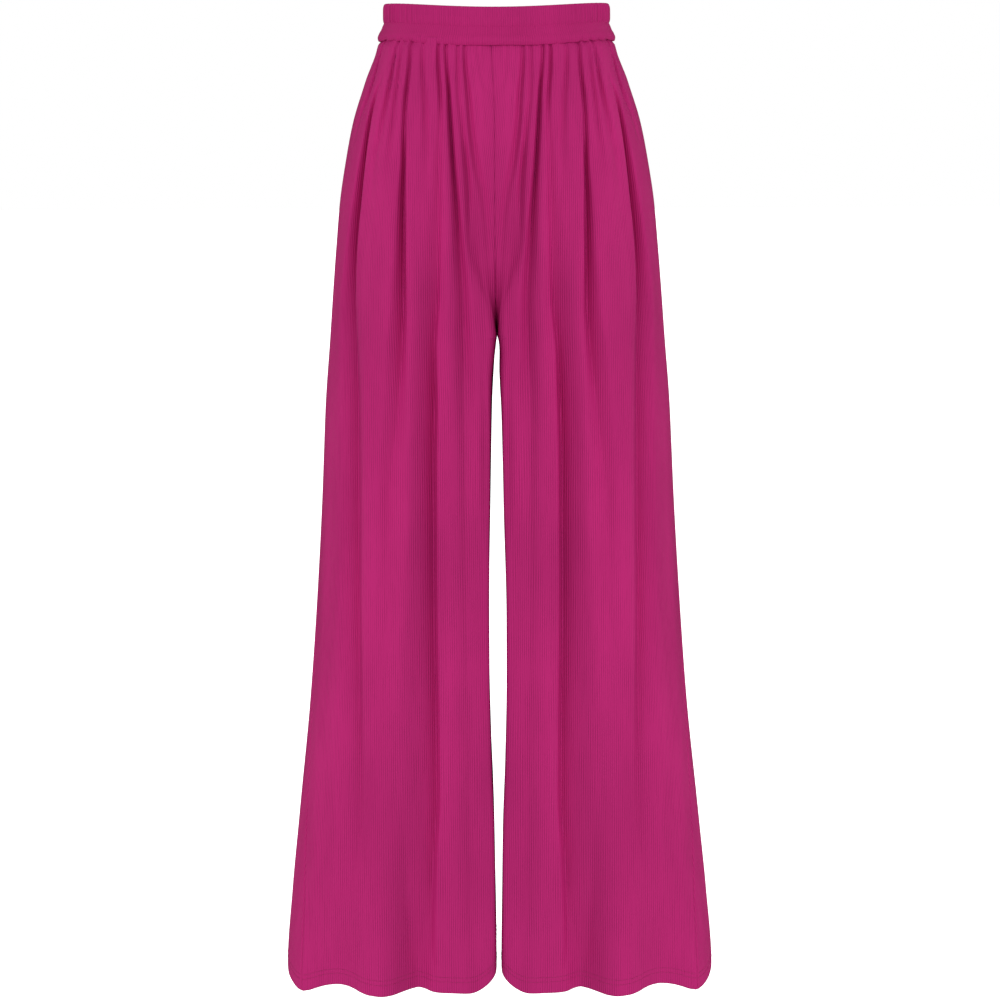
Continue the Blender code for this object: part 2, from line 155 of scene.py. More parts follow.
FRONT_FOLDS = {
    #    down  out    deep  outer inner
    "flank": trough(
        (24,   121,   2.5,  4,    3),
        (50,   126,   5.0,  4,    3),
        (80,   134,   5.5,  5,    4),
        (111,  146,   3.5,  8,    6),
        (150,  153,   0.0,  8,    6),
    ),
    "pocket side": trough(
        (60,   119,   0.0,  4,    3),
        (80,   126,   3.0,  4,    3),
        (111,  133,   9.0,  5.5,  3),
        (152,  139,   15.5, 10,   3),
        (193,  144,   20.0, 14,   3.5),
        (245,  150,   20.0, 18,   5),
        (297,  153,   18.0, 24,   7),
        (350,  152,   14.5, 26,   8),
        (402,  151,   14.5, 26,   8),
        (509,  151,   13.5, 26,   8),
        (616,  151.5, 13.0, 27,   6.5),
        (724,  151,   8.5,  27,   6),
        (833,  150,   4.0,  26,   6),
        (930,  156,   1.5,  24,   8),
        (1000, 160,   0.0,  24,   8),
    ),
    "pocket lip": trough(
        (270,  142,   0.0,  4,    14),
        (350,  141,   -1.8, 4,    16),
        (402,  140,   -2.6, 4,    18),
        (509,  139.5, -2.8, 4,    20),
        (616,  140,   -2.6, 4,    20),
        (724,  140.5, -2.2, 5,    20),
        (833,  140,   0.0,  6,    20),
    ),
    "second side": trough(
        (24,   104,   3.0,  2.5,  2),
        (50,   107.6, 6.0,  3,    2.5),
        (80,   112,   8.0,  4.5,  3),
        (111,  118,   5.5,  6,    4),
        (152,  127,   3.5,  8,    6),
        (193,  131,   1.5,  9,    8),
        (250,  134,   0.0,  9,    8),
    ),
    "third side": trough(
        (24,   98,    2.5,  2.5,  2),
        (50,   100.5, 4.5,  3,    2.5),
        (80,   103.5, 5.5,  4,    3),
        (111,  107,   4.5,  4,    3),
        (152,  111,   2.5,  4,    4),
        (190,  114,   0.0,  4,    4),
    ),
    "outer swell": trough(
        (111,  111,   0.0,  20,   6),
        (152,  110,   -2.0, 26,   6),
        (193,  109,   -3.5, 30,   6),
        (245,  110,   -4.0, 32,   8),
        (297,  112,   -4.0, 34,   10),
        (350,  118,   -2.5, 32,   12),
        (430,  124,   0.0,  28,   12),
    ),
    "outer": trough(
        (24,   88.5,  3.0,  3,    2),
        (50,   89.5,  4.5,  3.5,  2.5),
        (80,   92.3,  7.0,  4,    2.5),
        (111,  94.3,  5.5,  4,    2.5),
        (152,  94.8,  9.0,  4,    2.5),
        (193,  95.5,  10.5, 6,    2.5),
        (245,  95.6,  10.5, 9,    2.5),
        (297,  96.4,  9.5,  15,   3.5),
        (350,  99.5,  9.5,  18,   6),
        (402,  104,   7.0,  17,   11),
        (455,  110,   5.5,  15,   18),
        (509,  116,   4.0,  14,   22),
        (616,  118,   1.0,  16,   20),
        (700,  120,   0.0,  16,   20),
    ),
    "outer lip": trough(
        (130,  91,    0.0,  5,    14),
        (193,  87.5,  -2.2, 6,    18),
        (245,  86,    -4.0, 6,    18),
        (297,  86,    -5.0, 5,    18),
        (350,  88,    -4.0, 7,    20),
        (402,  89,    -3.0, 8,    18),
        (509,  92,    -2.0, 10,   18),
        (616,  96,    0.0,  12,   18),
    ),
    "upper middle": trough(
        (24,   75.5,  2.5,  3,    3),
        (50,   75,    4.5,  4,    3),
        (80,   73,    4.8,  5,    3),
        (111,  71,    4.0,  6,    3),
        (152,  70,    1.5,  8,    4),
        (210,  68,    0.0,  8,    4),
    ),
    "middle": trough(
        (24,   59,    3.0,  2.5,  2),
        (50,   58.5,  4.5,  3,    2),
        (80,   56.5,  4.5,  3,    2.5),
        (111,  55.5,  2.5,  4,    2.5),
        (152,  57,    1.5,  6,    2.5),
        (193,  58,    2.5,  10,   2.5),
        (245,  59,    3.0,  14,   2.5),
        (297,  61,    5.0,  20,   3),
        (350,  65.2,  9.5,  22,   3),
        (402,  66,    14.0, 27,   3.5),
        (455,  67.5,  14.5, 28,   4),
        (509,  68,    14.5, 29,   4),
        (616,  68.5,  14.0, 32,   4),
        (724,  67.5,  13.0, 36,   4),
        (833,  67,    12.5, 38,   4),
        (899,  71,    11.5, 40,   5),
        (988,  74,    6.5,  34,   6),
        (1048, 70,    0.0,  26,   6),
    ),
    "middle lip": trough(
        (80,   54,    0.0,  4,    2.5),
        (111,  50.5,  -2.4, 4,    2.5),
        (152,  50.5,  -5.2, 4,    5),
        (193,  49,    -5.4, 6,    7),
        (245,  48,    -5.6, 8,    9),
        (297,  47.5,  -5.8, 8,    11),
        (350,  50,    -5.2, 9,    14),
        (402,  50,    -4.6, 11,   18),
        (455,  48,    -4.2, 16,   28),
        (509,  48,    -4.4, 15,   32),
        (616,  50,    -4.4, 13,   34),
        (724,  50,    -4.0, 13,   34),
        (833,  50,    -3.4, 14,   34),
        (930,  50,    -1.6, 16,   30),
        (1048, 50,    0.0,  16,   30),
    ),
    "low middle": trough(
        (616,  84,    0.0,  12,   24),
        (724,  90,    0.0,  13,   24),
        (833,  98,    1.0,  14,   24),
        (899,  101,   2.0,  14,   22),
        (988,  97,    3.0,  22,   24),
        (1048, 91,    0.0,  24,   28),
    ),
    "inner": trough(
        (24,   50.5,  3.0,  2.5,  2),
        (50,   49.5,  4.0,  2.5,  2),
        (80,   47.3,  7.0,  2.5,  2),
        (111,  46,    7.5,  3,    2.5),
        (152,  43.6,  7.5,  3,    3),
        (193,  40.4,  7.0,  4.5,  3.5),
        (245,  36.8,  5.5,  7,    6),
        (297,  33,    4.0,  8,    9),
        (350,  33.5,  4.0,  10,   12),
        (402,  35,    2.5,  8,    14),
        (455,  35,    2.0,  7,    16),
        (509,  34,    2.0,  7,    16),
        (616,  34,    1.0,  8,    16),
        (724,  32,    1.0,  10,   16),
        (833,  31,    1.5,  12,   16),
        (943,  31,    1.5,  12,   16),
        (1048, 33,    0.0,  12,   16),
    ),
    "inner lip": trough(
        (111,  40,    0.0,  4,    4),
        (152,  37.5,  -2.4, 4,    4),
        (193,  33.5,  -2.8, 4,    5),
        (245,  29.5,  -2.6, 5,    10),
        (297,  26,    -2.8, 5,    9),
        (350,  23,    -2.0, 6,    8),
        (402,  21,    0.0,  6,    8),
    ),
    "thigh": trough(
        (350,  14,    0.0,  6,    4),
        (402,  12,    2.0,  6,    4),
        (455,  11.5,  3.0,  6,    4),
        (509,  11.5,  2.0,  6,    4),
        (570,  12,    0.0,  6,    4),
    ),
    "short inner": trough(
        (24,   38.5,  2.5,  2.5,  2.5),
        (50,   38,    3.0,  3,    2.5),
        (80,   37.5,  2.5,  3,    2.5),
        (111,  34,    3.0,  4,    3),
        (152,  29.5,  4.5,  4,    3),
        (193,  26.5,  3.0,  5,    4),
        (245,  26.5,  0.5,  7,    7),
        (280,  25,    0.0,  8,    8),
    ),
    "crotch": trough(
        (24,   30,    2.5,  2.5,  2.5),
        (50,   29.5,  4.5,  3,    3),
        (80,   27,    5.0,  3.5,  4),
        (111,  25,    5.0,  4,    5),
        (152,  20,    4.5,  4.5,  5),
        (193,  11,    2.5,  5,    5),
        (245,  7,     0.8,  4,    4),
        (280,  5,     0.0,  5,    4),
    ),
}
BACK_FOLDS = {
    #    down  out    deep  outer inner
    "flank": trough(
        (24,   120,   1.5,  4,    3),
        (50,   127,   2.0,  5,    4),
        (90,   141,   2.5,  8,    5),
        (130,  152,   1.5,  9,    7),
        (170,  160,   0.0,  9,    8),
    ),
    "side": trough(
        (24,   110,   2.5,  5,    3),
        (60,   118,   4.0,  6,    3),
        (100,  127,   7.0,  9,    3.5),
        (150,  136,   11.0, 14,   4),
        (200,  143,   13.0, 20,   4),
        (260,  148,   12.0, 26,   5),
        (330,  152,   9.0,  30,   6),
        (430,  156,   6.5,  36,   8),
        (560,  162,   5.0,  40,   8),
        (700,  170,   4.0,  40,   8),
        (865,  180,   3.0,  36,   10),
        (970,  186,   1.5,  30,   14),
        (1048, 188,   0.0,  28,   16),
    ),
    "second side": trough(
        (24,   101,   2.0,  3,    3),
        (60,   105,   3.5,  5,    3),
        (110,  113,   3.0,  7,    4),
        (160,  120,   1.5,  8,    5),
        (200,  124,   0.0,  8,    5),
    ),
    "outer": trough(
        (24,   87,    3.0,  5,    3),
        (60,   90,    5.0,  7,    2.5),
        (100,  97,    7.0,  10,   2.5),
        (160,  103,   9.5,  14,   2.5),
        (220,  107,   11.0, 19,   3),
        (290,  111,   10.0, 24,   3.5),
        (350,  117,   7.0,  26,   7),
        (430,  123,   4.5,  24,   14),
        (520,  128,   3.0,  26,   18),
        (640,  133,   1.0,  26,   18),
        (720,  136,   0.0,  26,   18),
    ),
    "low outer": trough(
        (560,  126,   0.0,  20,   8),
        (680,  128,   3.0,  26,   8),
        (800,  131,   5.5,  28,   8),
        (900,  134,   6.5,  28,   10),
        (990,  136,   3.5,  24,   14),
        (1048, 137,   0.0,  24,   16),
    ),
    "short outer": trough(
        (24,   77,    1.5,  5,    4),
        (60,   79,    2.5,  5,    4),
        (130,  84,    3.0,  8,    6),
        (230,  90,    2.5,  12,   9),
        (300,  94,    0.0,  12,   9),
    ),
    "middle": trough(
        (24,   64,    2.5,  4,    2.5),
        (60,   65,    4.0,  5,    2.5),
        (110,  67,    5.0,  7,    2.5),
        (170,  70,    6.0,  10,   3),
        (240,  74,    8.0,  15,   3),
        (310,  77,    10.0, 22,   3.5),
        (380,  79,    12.0, 28,   4),
        (500,  81,    12.5, 32,   4.5),
        (640,  82,    11.0, 34,   5),
        (760,  84,    9.0,  34,   5),
        (870,  88,    7.0,  32,   8),
        (970,  92,    4.0,  30,   14),
        (1048, 94,    0.0,  28,   20),
    ),
    "short middle": trough(
        (24,   55,    2.0,  4,    3),
        (60,   56,    3.0,  5,    3),
        (120,  57,    3.0,  6,    4),
        (200,  60,    2.5,  9,    7),
        (330,  63,    1.5,  12,   10),
        (420,  64,    0.0,  12,   10),
    ),
    "low inner": trough(
        (620,  58,    0.0,  14,   12),
        (740,  57,    2.5,  18,   10),
        (860,  56,    4.0,  20,   10),
        (960,  57,    3.0,  20,   12),
        (1048, 58,    0.0,  20,   14),
    ),
    "inner": trough(
        (24,   44,    2.5,  3,    3),
        (60,   46,    4.5,  3.5,  4),
        (100,  48,    6.5,  4,    6),
        (160,  48,    7.5,  6,    8),
        (210,  47,    7.5,  8,    11),
        (300,  45,    6.0,  10,   15),
        (361,  43,    5.0,  10,   18),
        (480,  40,    4.0,  9,    24),
        (640,  36,    3.0,  12,   26),
        (800,  33,    2.5,  16,   22),
        (940,  31,    2.0,  18,   20),
        (1048, 30,    0.0,  18,   20),
    ),
    "short inner": trough(
        (24,   33,    2.0,  3,    3),
        (70,   35,    3.5,  5,    4),
        (130,  36,    4.0,  6,    5),
        (200,  34,    2.5,  8,    7),
        (280,  30,    0.0,  8,    8),
    ),
    "crotch": trough(
        (24,   21,    2.0,  4,    4),
        (91,   24,    4.0,  5,    7),
        (180,  21,    5.0,  7,    9),
        (250,  15,    4.0,  10,   8),
        (310,  10,    3.0,  12,   6),
        (347,  9,     0.0,  12,   6),
    ),
}
# The hem swings in and out: how deep it lies at each "out" at its edge. Higher up, the wave fades.
HEM_WAVES = {
    "front": table(
        "out  deep",
        (18,   0),
        (36,  -3.4),
        (52,  -2),
        (63,   0),
        (72,   4),
        (82,  16),
        (88,  20),
        (95,  15),
        (106,  2),
        (117, -11),
        (129, -17),
        (141, -14),
        (151, -4),
        (159,  8),
        (168, 17),
        (178, 21),
        (190, 19),
        (202, 14),
        (214,  4),
        (230,  0),
    ),
    "back": table(
        "out  deep",
        (16,   0),
        (34,  -3),
        (58,  -8),
        (80,   6),
        (96,  17),
        (112,  6),
        (130, -10),
        (148, -14),
        (166,  0),
        (184, 13),
        (200, 10),
        (216,  2),
        (230,  0),
    ),
}
WAVE_STARTS = 880.0
WAVE_GROWTH = 1.6
HEM_SWING = 0.55
HEM_LIFT = 0.145

# The rows and columns of the cloth. The columns follow the four main folds, with so many in each
# strip, and the last rows roll in at the hem: how high each lies, and how far in.
GUIDES = {
    "front": (("inner", "middle", "outer", "pocket side"), (58, 34, 34, 30, 44)),
    "back": (("side", "outer", "middle", "inner"), (44, 32, 32, 32, 60)),
}
ROWS_BELOW_CROTCH = 132
ROWS_IN_CROTCH_CURVE = 30
ROWS_ABOVE = 40
ROWS_CROWD_UPWARDS = 1.35
HEM_ROLL = ((0.0, 1.1), (0.35, 0.45), (1.0, 0.1))
SAME_LEVEL = 0.01
SECTION_STEPS = 160
CROWD = 0.6
SEAM_MARKS = (0.5, 1.1, 2.0, 3.2)

# How round the folds are, and how much of their depth goes straight back instead of inwards
VALLEY_ROUND = 0.9
RIDGE_ROUND = 7.0
FOLD_BEND = 1.5
FOLD_BACK = 0.6
SWAY_LENGTH = 150.0
BACK_SWAY = {"left": 0.0, "right": 2.5}

# The seams roll in, and the folds calm down beside them. The inseams part below the crotch point.
SEAM_CALM = 7.0
SEAM_GROOVE = 0.9
CENTRE_GROOVE = 0.45
SEAM_ROLL = 1.1
INSEAM_FREE = 30.0

# The cloth tucks in under the band, and deeper at the sides
TUCK = 2.0
SIDE_TUCK = 1.6
SIDE_TUCK_FROM = 66.0
SIDE_TUCK_WIDE = 26.0
TUCK_REACH = 2.2

# The upper folds of the front hang a little to the wearer's right. The shift of the centre seam
# reaches a little way to both sides.
FRONT_TURN = -2.3
TURN_DEEP = 60.0
TURN_FADES = (290.0, 430.0)
TURN_SIDE_POWER = 4
CENTRE_REACH = 42.0


def smooth(downs, values, down):
    """Monotone cubic through the table's points, level beyond its ends."""
    down = np.clip(down, downs[0], downs[-1])
    steps = np.diff(downs)
    slopes = np.diff(values) / steps
    tangents = np.zeros(len(values))
    for i in range(1, len(values) - 1):
        if slopes[i - 1] * slopes[i] > 0:
            before = 2 * steps[i] + steps[i - 1]
            after = steps[i] + 2 * steps[i - 1]
            tangents[i] = (before + after) / (before / slopes[i - 1] + after / slopes[i])
    i = np.clip(np.searchsorted(downs, down, side="right") - 1, 0, len(steps) - 1)
    t = (down - downs[i]) / steps[i]
    curve = (2 * t**3 - 3 * t**2 + 1) * values[i] + (3 * t**2 - 2 * t**3) * values[i + 1]
    return curve + steps[i] * ((t**3 - 2 * t**2 + t) * tangents[i] + (t**3 - t**2) * tangents[i + 1])


def at(rows, name, down):
    return float(smooth(rows["down"], rows[name], down))


def ease(value):
    """0 to 1 with flat ends."""
    t = np.clip(value, 0.0, 1.0)
    return t * t * (3 - 2 * t)


def centre(down, panel):
    """Where a half begins or ends: x, y, and how far it has turned down the crotch curve."""
    start = CURVE_STARTS[panel]
    if down <= start:
        return 0.0, at(CENTRES, panel, down), 0.0
    if down <= CROTCH:
        turn = math.asin((down - start) / (CROTCH - start))
        seam = at(CENTRES, panel, start)
        return 0.0, seam + (CROTCH_Y - seam) * (1 - math.cos(turn))**CURVE_POWER[panel], turn
    fall = (down - CROTCH) / (HEM - CROTCH)
    half = at(GAP, "half", down) + INNER_LEAN * ease((down - CROTCH) / LEAN_REACHED)
    return half, CROTCH_Y * (1 - ease(fall / INSEAM_STRAIGHT_AT)), math.pi / 2


def bezier(*points):
    t = np.linspace(0.0, 1.0, SECTION_STEPS + 1)[:, None]
    start, first, second, end = (np.array(point) for point in points)
    near = (1 - t)**3 * start + 3 * t * (1 - t)**2 * first
    return near + 3 * t**2 * (1 - t) * second + t**3 * end


def quarter(start, turn, peak, fill_in, square, lean, widest, fill_out, side):
    """From the centre or the inside leg over the front or back of the leg to its widest point. The
    cloth hangs flat to an inner corner, and "square" is how near it comes to a sharp one. The front
    corner leans over the gap between the legs, and the back one leans away."""
    cleft = math.sin(turn)
    thigh = side * max(side * CROTCH_Y + fill_in * abs(peak[1] - CROTCH_Y), side * start[1])
    leave = (start[0] + fill_in * (peak[0] - start[0]) * (1 - cleft), start[1] + (thigh - start[1]) * cleft)
    near = bezier(start, leave, (peak[0] - fill_in * (peak[0] - start[0]), peak[1]), peak)
    share = np.linspace(0.0, 1.0, SECTION_STEPS + 1)[:, None]
    near += square * (1 - (2 * share - 1)**CORNER_POWER) * ((start[0] + side * lean, peak[1]) - near)
    far = bezier(peak, (peak[0] + fill_out * (widest[0] - peak[0]), peak[1]),
                 (widest[0], widest[1] + fill_out * (peak[1] - widest[1])), widest)
    return np.vstack((near, far[1:]))


def slow_waves(u, v, seed, waves):
    """Uneven waves on the flat cut, from -1 to 1: a few sine waves that lean as chance has it."""
    chance = np.random.default_rng(seed)
    total = 0.0
    for wide, long in waves:
        phase, lean = chance.uniform(0, 2 * math.pi), chance.uniform(0.6, 1.0)
        total = total + np.sin(2 * math.pi * (u / wide + lean * v / long) + phase)
    return total / len(waves)


class Level:
    """One level of one half: its smooth section, its side seam and its folds."""

    def __init__(self, down):
        self.down = down
        widest = (at(SECTIONS, "side", down), at(SECTIONS, "side_y", down))
        halves = []
        lean = INNER_LEAN * ease((down - CROTCH) / LEAN_REACHED)
        for panel, side in (("front", -1), ("back", 1)):
            x, y, turn = centre(down, panel)
            peak = (at(SECTIONS, panel + "_x", down), at(SECTIONS, panel + "_y", down))
            halves.append(quarter((x, y), turn, peak, at(SECTIONS, "fill_in", down),
                                  at(SECTIONS, "square", down), lean, widest,
                                  at(SECTIONS, "fill_out", down), side))
        self.points = np.vstack((halves[0], halves[1][::-1][1:]))
        steps = np.linalg.norm(np.diff(self.points, axis=0), axis=1)
        self.along = np.concatenate(([0.0], np.cumsum(steps)))
        self.widest = 2 * SECTION_STEPS
        rising = slice(SECTION_STEPS, len(self.points) - SECTION_STEPS)
        seam_y = at(SECTIONS, "seam_y", down)
        self.seam = float(np.interp(seam_y, self.points[rising, 1], self.along[rising]))
        self.end = self.along[-1]
        tangent = np.gradient(self.points, self.along, axis=0)
        tangent /= np.linalg.norm(tangent, axis=1)[:, None]
        self.inward = np.column_stack((-tangent[:, 1], tangent[:, 0]))

    def place_of(self, out, panel):
        """The length along the section where the front or back is "out" from the centre."""
        half = self.points[:, 0]
        if panel == "front":
            return float(np.interp(out, half[:self.widest + 1], self.along[:self.widest + 1]))
        return float(np.interp(out, half[self.widest:][::-1], self.along[self.widest:][::-1]))

    def fold_place(self, fold, panel, sway):
        out = at(fold, "out", self.down)
        return self.place_of(out + sway * math.sin(self.down / SWAY_LENGTH), panel)

    def columns(self, panel, folds, sway):
        """Places of the columns, which follow the four main folds and crowd at the seams."""
        names, strips = GUIDES[panel]
        guides = sorted(self.fold_place(folds[name], panel, sway) for name in names)
        start, stop = (0.0, self.seam) if panel == "front" else (self.seam, self.end)
        near = [start + mark for mark in SEAM_MARKS]
        far = [stop - mark for mark in SEAM_MARKS[::-1]]
        ends = [near[-1], *guides, far[0]]
        marks = [start, *near]
        for first, last, count in zip(ends, ends[1:], strips):
            even = np.linspace(0, 1, count + 1)[1:]
            crowded = even - CROWD * np.sin(2 * math.pi * even) / (2 * math.pi)
            marks += list(first + (last - first) * crowded)
        return np.array([*marks, *far[1:], stop])

    def depth(self, along, panel, folds, sway):
        """How far the folds push the cloth in."""
        total = np.zeros(len(along))
        outwards = 1 if panel == "front" else -1
        for fold in folds.values():
            away = (along - self.fold_place(fold, panel, sway)) * outwards
            reach = np.where(away > 0, at(fold, "outer", self.down), at(fold, "inner", self.down))
            deep = at(fold, "deep", self.down)
            soft = VALLEY_ROUND if deep > 0 else RIDGE_ROUND
            total += deep * np.clip(1 - (np.hypot(away, soft) - soft) / reach, 0, 1)**FOLD_BEND
        return total


def waist_dip(y):
    """The waist's edges lie lower at the front, and a little lower at the back."""
    front = FRONT_DIP * np.clip(-y / CASING_DEEP, 0, 1)**3
    return front + BACK_DIP * np.clip(y / CASING_DEEP, 0, 1)**2


# The flat cut: the grain runs straight down at GRAIN_OUT, and above the hips the cloth was wider
# than the space it is gathered into.
GRAIN_OUT = {"front": 77.0, "back": 84.0}
GATHER_STARTS = 300.0
GATHER_FULLNESS = 0.3
GATHER_WRINKLE = 0.55
GATHER_WRINKLE_FADES = 24.0
GATHER_WAVES = ((9.5, 4000), (13.0, 5000), (7.1, 3600))
SLACK = 0.55
SLACK_WAVES = ((46, 900), (71, 620), (29, 1500))
WAVE_SEEDS = {("front", "left"): 3, ("front", "right"): 3, ("back", "left"): 5, ("back", "right"): 8}


def row_levels():
    """Depths of the rows from the hem up, even along the crotch curve rather than in height."""
    hem = [HEM - rise for rise, _ in HEM_ROLL]
    leg = np.linspace(hem[-1] - 2, CROTCH, ROWS_BELOW_CROTCH)
    start = CURVE_STARTS["front"]
    turns = np.linspace(math.pi / 2, 0, ROWS_IN_CROTCH_CURVE + 1)[1:]
    curve = start + (CROTCH - start) * np.sin(turns)
    rise = np.linspace(0, 1, ROWS_ABOVE + 1)[1:]
    top = CLOTH_TOP + (start - CLOTH_TOP) * (1 - rise)**ROWS_CROWD_UPWARDS
    return np.concatenate((hem, leg, curve, top))


def hang_aside(points):
    """Moves the middle of the front by its table, and its upper folds by a set length that fades out
    at the side seams and down the thighs."""
    down = -points[..., 2]
    in_front = ease(-points[..., 1] / TURN_DEEP)
    middle = 1 - ease(np.abs(points[..., 0]) / CENTRE_REACH)
    points[..., 0] += smooth(CENTRES["down"], CENTRES["shift"], down) * middle * in_front
    across = points[..., 0] / np.abs(points[..., 0]).max(axis=1, keepdims=True)
    inside = np.clip(1 - across**TURN_SIDE_POWER, 0, 1)
    above = 1 - ease((down - TURN_FADES[0]) / (TURN_FADES[1] - TURN_FADES[0]))
    points[..., 0] += FRONT_TURN * inside * in_front * above


def leg_piece(panel, wearer):
    """Points and flat cut of one leg piece, with rows from the hem up and columns anticlockwise."""
    folds = FRONT_FOLDS if panel == "front" else BACK_FOLDS
    sway = 0.0 if panel == "front" else BACK_SWAY[wearer]
    seed = WAVE_SEEDS[panel, wearer]
    points = []
    cut = []
    for down in row_levels():
        level = Level(down)
        along = level.columns(panel, folds, sway)
        if panel == "front":
            from_middle, from_side = along, level.seam - along
        else:
            from_middle, from_side = level.end - along, along - level.seam
        calm = ease(from_middle / SEAM_CALM) * ease(from_side / SEAM_CALM)
        out = np.interp(along, level.along, level.points[:, 0])

        # the place on the flat cut
        grain = level.place_of(GRAIN_OUT[panel], panel)
        full = 1 + GATHER_FULLNESS * ease(1 - (down - BAND_BOTTOM) / (GATHER_STARTS - BAND_BOTTOM))
        u = (along - grain) * full

        # folds, gathers, slack and the swing of the hem
        fold = level.depth(along, panel, folds, sway)
        gathers = math.exp(-max(down - BAND_BOTTOM, 0) / GATHER_WRINKLE_FADES)
        fold += GATHER_WRINKLE * gathers * slow_waves(u, down, seed, GATHER_WAVES)
        fold += SLACK * slow_waves(u, down, seed + 1, SLACK_WAVES)
        swing = ease((down - WAVE_STARTS) / (HEM - WAVE_STARTS))**WAVE_GROWTH
        wave = swing * calm * smooth(HEM_WAVES[panel]["out"], HEM_WAVES[panel]["deep"], out)
        fold = fold * calm + HEM_SWING * wave

        # seam grooves, the tuck under the band and the rolled edge of the hem
        groove = CENTRE_GROOVE if panel == "front" and down < CROTCH else SEAM_GROOVE
        deep = groove * np.exp(-(from_middle / SEAM_ROLL)**2)
        deep += SEAM_GROOVE * np.exp(-(from_side / SEAM_ROLL)**2)
        under_band = math.exp(-max(down - BAND_BOTTOM, 0) / TUCK_REACH)
        deep += (TUCK + SIDE_TUCK * ease((out - SIDE_TUCK_FROM) / SIDE_TUCK_WIDE)) * under_band
        roll = [inset for rise, inset in HEM_ROLL if abs(HEM - rise - down) < SAME_LEVEL]
        deep += roll[0] if roll else 0.0

        # the dip of the waist and the line of the hem
        x, y, nx, ny = (np.interp(along, level.along, values[:, i])
                        for values in (level.points, level.inward) for i in (0, 1))
        drop = waist_dip(y) * (1 - ease((down - BAND_BOTTOM) / (DIP_FADES_AT - BAND_BOTTOM)))
        near_hem = ease((down - HEM) / SIDE_HEM_RISE + 1)
        drop += SIDE_HEM_DROP * near_hem * np.exp(-((along - level.seam) / SIDE_HEM_REACH)**2)
        inseam_side = np.clip(1 - out / INNER_HEM_REACH, 0, 1)
        drop -= HEM_LIFT * wave + INNER_HEM_RISE * near_hem**2 * inseam_side**2

        # folds go inwards and back, and where halves are joined their seam doesn't move sideways
        push_x, push_y = nx * (1 - FOLD_BACK), ny + (FOLD_BACK if panel == "front" else -FOLD_BACK)
        fold /= np.hypot(push_x, push_y)
        joined = 1 - ease((down - CROTCH) / INSEAM_FREE)
        nx = nx * (1 - joined * np.exp(-(from_middle / SEAM_ROLL)**2))
        x, y = x + nx * deep + push_x * fold, y + ny * deep + push_y * fold
        points.append(np.column_stack((x, y, -down - drop)))
        cut.append(np.column_stack((u, np.full(len(u), -down))))
    points = np.array(points)
    if wearer == "right":
        points = points[:, ::-1] * (-1, 1, 1)
        cut = [row[::-1] for row in cut]
    hang_aside(points)
    return points, np.array(cut)


def cloth(name, points, cut):
    """A sheet of jersey: a grid set to its points, with its place on the flat cut as UV map."""
    rows, columns = points.shape[:2]
    bpy.ops.mesh.primitive_grid_add(x_subdivisions=columns - 1, y_subdivisions=rows - 1, size=1)
    piece = bpy.context.object
    piece.name = piece.data.name = name
    mesh = piece.data
    mesh.vertices.foreach_set("co", (points * MM).ravel())
    corners = np.empty(len(mesh.loops), dtype=np.int32)
    mesh.loops.foreach_get("vertex_index", corners)
    layer = mesh.uv_layers.active
    layer.name = "cut"
    layer.data.foreach_set("uv", cut.reshape(-1, 2)[corners].ravel())
    mesh.update()
    bpy.ops.object.shade_smooth()
    return piece


def give_wall(piece, downs):
    """Turns the sheet into a wall, which is thicker at the turned-up hem."""
    columns = len(piece.data.vertices) // len(downs)
    hem = piece.vertex_groups.new(name="hem")
    for row, down in enumerate(downs):
        if down >= HEM - HEM_DEPTH:
            hem.add(list(range(row * columns, (row + 1) * columns)), 1.0, "REPLACE")
    wall = piece.modifiers.new("wall", "SOLIDIFY")
    wall.thickness = HEM_CLOTH * MM
    wall.offset = -1
    wall.vertex_group = "hem"
    wall.thickness_vertex_group = CLOTH / HEM_CLOTH
    bpy.context.view_layer.objects.active = piece
    bpy.ops.object.modifier_apply(modifier="wall")


def linear(colour):
    """A hex colour as the linear values that a shader takes."""
    channels = [int(colour[i:i + 2], 16) / 255 for i in (1, 3, 5)]
    return [c / 12.92 if c <= 0.04045 else ((c + 0.055) / 1.055)**2.4 for c in channels] + [1.0]


def add_node(tree, kind, settings=None, links=None):
    """Adds a node, sets its properties and input values, and links sockets into it."""
    node = tree.nodes.new(kind)
    for key, value in (settings or {}).items():
        if isinstance(key, str) and hasattr(node, key):
            setattr(node, key, value)
        else:
            node.inputs[key].default_value = value
    for key, socket in (links or {}).items():
        tree.links.new(socket, node.inputs[key])
    return node


# The ribs are painted darker in their grooves and lighter on their ridges, as painted shade and a painted
# highlight. RIB_SHADE is how far the ribs move the colour between the two.
RIB_PITCH = 2.35
RIB_RELIEF = 0.22
RIB_WANDER = 3.0
RIB_SHADE = 0.45

# The sockets of a Mix node that mixes colours
FIRST_COLOUR = 6
SECOND_COLOUR = 7
MIXED_COLOUR = 2


